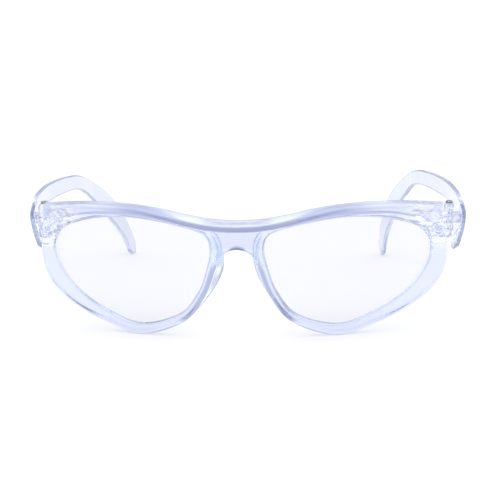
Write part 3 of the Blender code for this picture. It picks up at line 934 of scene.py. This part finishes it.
def noise(tree, scale, detail, stretch=(1.0, 1.0, 1.0)):
    """A noise texture in the object's own space. Scale counts features to the metre."""
    place = tree.nodes.new("ShaderNodeTexCoord")
    mapping = tree.nodes.new("ShaderNodeMapping")
    mapping.inputs["Scale"].default_value = stretch
    made = tree.nodes.new("ShaderNodeTexNoise")
    made.inputs["Scale"].default_value = scale
    made.inputs["Detail"].default_value = detail
    tree.links.new(place.outputs["Object"], mapping.inputs["Vector"])
    tree.links.new(mapping.outputs["Vector"], made.inputs["Vector"])
    return made.outputs["Fac"]


def spread(tree, value, low, high, out_low, out_high):
    made = tree.nodes.new("ShaderNodeMapRange")
    made.inputs["From Min"].default_value = low
    made.inputs["From Max"].default_value = high
    made.inputs["To Min"].default_value = out_low
    made.inputs["To Max"].default_value = out_high
    tree.links.new(value, made.inputs["Value"])
    return made.outputs["Result"]


def bump(tree, height, distance, before=None):
    made = tree.nodes.new("ShaderNodeBump")
    made.inputs["Strength"].default_value = 1.0
    made.inputs["Distance"].default_value = distance
    tree.links.new(height, made.inputs["Height"])
    if before is not None:
        tree.links.new(before, made.inputs["Normal"])
    return made.outputs["Normal"]


def painted(tree, colour, name):
    """The colour multiplied by one that is stored on the mesh's points, and that one's alpha.

    The Mix node's colours are its inputs 6 and 7 and its output 2.
    """
    stored = tree.nodes.new("ShaderNodeAttribute")
    stored.attribute_name = name
    made = tree.nodes.new("ShaderNodeMix")
    made.data_type = "RGBA"
    made.blend_type = "MULTIPLY"
    made.inputs[0].default_value = 1.0
    tree.links.new(colour, made.inputs[6])
    tree.links.new(stored.outputs["Color"], made.inputs[7])
    return made.outputs[2], stored.outputs["Alpha"]


def crumpled(tree):
    """Facets like those of a hand-cut mould, where the mesh's relief calls for them."""
    place = tree.nodes.new("ShaderNodeTexCoord")
    mapping = tree.nodes.new("ShaderNodeMapping")
    mapping.inputs["Rotation"].default_value = CRUMPLE_TURN
    mapping.inputs["Scale"].default_value = CRUMPLE_STRETCH
    cells = tree.nodes.new("ShaderNodeTexVoronoi")
    cells.inputs["Scale"].default_value = CRUMPLE_SCALE
    stored = tree.nodes.new("ShaderNodeAttribute")
    stored.attribute_name = "relief"
    made = tree.nodes.new("ShaderNodeMath")
    made.operation = "MULTIPLY"
    tree.links.new(place.outputs["Object"], mapping.inputs["Vector"])
    tree.links.new(mapping.outputs["Vector"], cells.inputs["Vector"])
    tree.links.new(cells.outputs["Distance"], made.inputs[0])
    tree.links.new(stored.outputs["Fac"], made.inputs[1])
    return made.outputs["Value"]


def clear_plastic(name, tints, painted_glow, wave, smooth, worn, painted_light_and_matt=None):
    """Polished clear polycarbonate, drifting between two tints, with a faint blue in its depth, an even
    painted glow, and, where an attribute is named, painted light and shade.
    """
    made, tree, shader = new_material(name)
    shader.inputs["IOR"].default_value = PLASTIC_IOR
    shader.inputs["Transmission Weight"].default_value = 1.0
    # the emission is an even painted glow that stands in for scattered light: the plastic is no lamp
    shader.inputs["Emission Color"].default_value = (*PAINTED_GLOW_COLOUR, 1.0)
    shader.inputs["Emission Strength"].default_value = painted_glow
    tone = tree.nodes.new("ShaderNodeValToRGB")
    for element, tint_and_painted_light in zip(tone.color_ramp.elements, tints):
        element.color = (*tint_and_painted_light, 1.0)
    tree.links.new(noise(tree, DRIFT_SCALE, detail=3.0), tone.inputs["Fac"])
    colour = tone.outputs["Color"]
    streaks = noise(tree, STREAK_SCALE, detail=6.0, stretch=STREAK_STRETCH)
    rough = spread(tree, streaks, *NOISE_REACH, smooth, worn)
    # the stored colour multiplies in the front's painted light and shade
    if painted_light_and_matt:
        colour, matt = painted(tree, colour, painted_light_and_matt)
        total = tree.nodes.new("ShaderNodeMath")
        tree.links.new(rough, total.inputs[0])
        tree.links.new(matt, total.inputs[1])
        rough = total.outputs["Value"]
    tree.links.new(colour, shader.inputs["Base Color"])
    tree.links.new(rough, shader.inputs["Roughness"])
    flow = bump(tree, noise(tree, FLOW_SCALE, detail=2.0), wave)
    fine = bump(tree, noise(tree, FINE_SCALE, detail=3.0), wave * FINE_SHARE, flow)
    tree.links.new(bump(tree, crumpled(tree), CRUMPLE_DEPTH, fine), shader.inputs["Normal"])
    volume = tree.nodes.new("ShaderNodeVolumeAbsorption")
    volume.inputs["Color"].default_value = (*DEPTH_COLOUR, 1.0)
    volume.inputs["Density"].default_value = DEPTH_TINT
    tree.links.new(volume.outputs["Volume"], tree.nodes["Material Output"].inputs["Volume"])
    return made


def hinge_steel():
    made, tree, shader = new_material("hinge_steel")
    shader.inputs["Metallic"].default_value = 1.0
    tone = tree.nodes.new("ShaderNodeValToRGB")
    for element, (at, colour) in zip(tone.color_ramp.elements, STEEL_TONES):
        element.position = at
        element.color = (*colour, 1.0)
    tree.links.new(noise(tree, STEEL_GRAIN_SCALE, detail=5.0), tone.inputs["Fac"])
    tree.links.new(tone.outputs["Color"], shader.inputs["Base Color"])
    turning = noise(tree, STEEL_TURNING_SCALE, detail=3.0, stretch=STEEL_TURNING_STRETCH)
    rough = spread(tree, turning, *STEEL_TURNING_REACH, *STEEL_ROUGHNESS)
    tree.links.new(rough, shader.inputs["Roughness"])
    tree.links.new(bump(tree, turning, STEEL_TURNING_DEPTH), shader.inputs["Normal"])
    return made


def floor_paper():
    made, tree, shader = new_material("white_sweep")
    shader.inputs["Roughness"].default_value = FLOOR_ROUGHNESS
    shader.inputs["Specular IOR Level"].default_value = FLOOR_SHEEN
    shader.inputs["Emission Color"].default_value = (1.0, 1.0, 1.0, 1.0)
    shader.inputs["Emission Strength"].default_value = FLOOR_GLOW
    tone = tree.nodes.new("ShaderNodeValToRGB")
    for element, grey in zip(tone.color_ramp.elements, FLOOR_TONES):
        element.color = (grey, grey, grey, 1.0)
    tree.links.new(noise(tree, FLOOR_GRAIN_SCALE, detail=4.0), tone.inputs["Fac"])
    tree.links.new(tone.outputs["Color"], shader.inputs["Base Color"])
    return made


# ---------------------------------------------------------------- stage


def studio_light():
    """A white tent: bright overhead and low all round, with a dim band above the floor's edge."""
    world = bpy.data.worlds.new("tent")
    bpy.context.scene.world = world
    world.use_nodes = True
    tree = world.node_tree
    place = tree.nodes.new("ShaderNodeTexCoord")
    split = tree.nodes.new("ShaderNodeSeparateXYZ")
    ramp = tree.nodes.new("ShaderNodeValToRGB")
    ramp.color_ramp.interpolation = "EASE"
    elements = ramp.color_ramp.elements
    while len(elements) < len(TENT_STOPS):
        elements.new(0.5)
    for element, (at, colour) in zip(elements, TENT_STOPS):
        element.position = at
        element.color = (*colour, 1.0)
    tree.links.new(place.outputs["Generated"], split.inputs["Vector"])
    tree.links.new(split.outputs["Z"], ramp.inputs["Fac"])
    shader = tree.nodes["Background"]
    shader.inputs["Strength"].default_value = TENT_STRENGTH
    tree.links.new(ramp.outputs["Color"], shader.inputs["Color"])


def add_floor():
    signs = ((-1, -1), (1, -1), (1, 1), (-1, 1))
    points = [(x * FLOOR_HALF, y * FLOOR_HALF, FLOOR_LEVEL) for x, y in signs]
    mesh = bpy.data.meshes.new("floor")
    mesh.from_pydata(points, [], [(0, 1, 2, 3)])
    floor = bpy.data.objects.new("floor", mesh)
    bpy.context.scene.collection.objects.link(floor)
    floor.data.materials.append(floor_paper())
    floor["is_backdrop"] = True


def add_camera():
    yaw, lift, roll = (math.radians(a) for a in (CAMERA_YAW, CAMERA_ELEVATION, CAMERA_ROLL))
    back = Vector((math.sin(yaw) * math.cos(lift), -math.cos(yaw) * math.cos(lift), math.sin(lift)))
    level = Vector((0, 0, 1)).cross(back).normalized()
    above = back.cross(level)
    right = level * math.cos(roll) + above * math.sin(roll)
    up = above * math.cos(roll) - level * math.sin(roll)
    camera = bpy.data.objects.new("camera", bpy.data.cameras.new("camera"))
    camera.data.lens = CAMERA_LENS
    camera.data.sensor_width = SENSOR
    camera.data.clip_start = NEAREST
    camera.data.clip_end = FARTHEST
    place = Matrix((right, up, back)).transposed().to_4x4()
    place.translation = Vector(CAMERA_TARGET) + back * CAMERA_DISTANCE
    camera.matrix_world = place
    bpy.context.scene.collection.objects.link(camera)
    bpy.context.scene.camera = camera


def corners():
    return [list(corner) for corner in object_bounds()]


def put(piece, body, node):
    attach(piece, body)
    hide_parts(node)


def main():
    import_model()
    bpy.context.scene.view_settings.view_transform = "Standard"
    frame_look = clear_plastic("clear_frame", **FRAME_LOOK)
    temple_look = clear_plastic("clear_temple", **TEMPLE_LOOK)
    lens_look = clear_plastic("clear_lens", **LENS_LOOK)
    steel = hinge_steel()
    put(front_moulding(frame_look), "front", "front_frame")
    for side in SIDES:
        put(lens(side, lens_look), "front", "lens_" + side)
        put(temple(side, temple_look), side + "_temple", "temple_" + side)
        put(screw(side, steel), "front", "hinge_screw_" + side)
        put(nut(side, steel), "front", "hinge_nut_" + side)
    add_floor()
    studio_light()
    add_camera()


main()
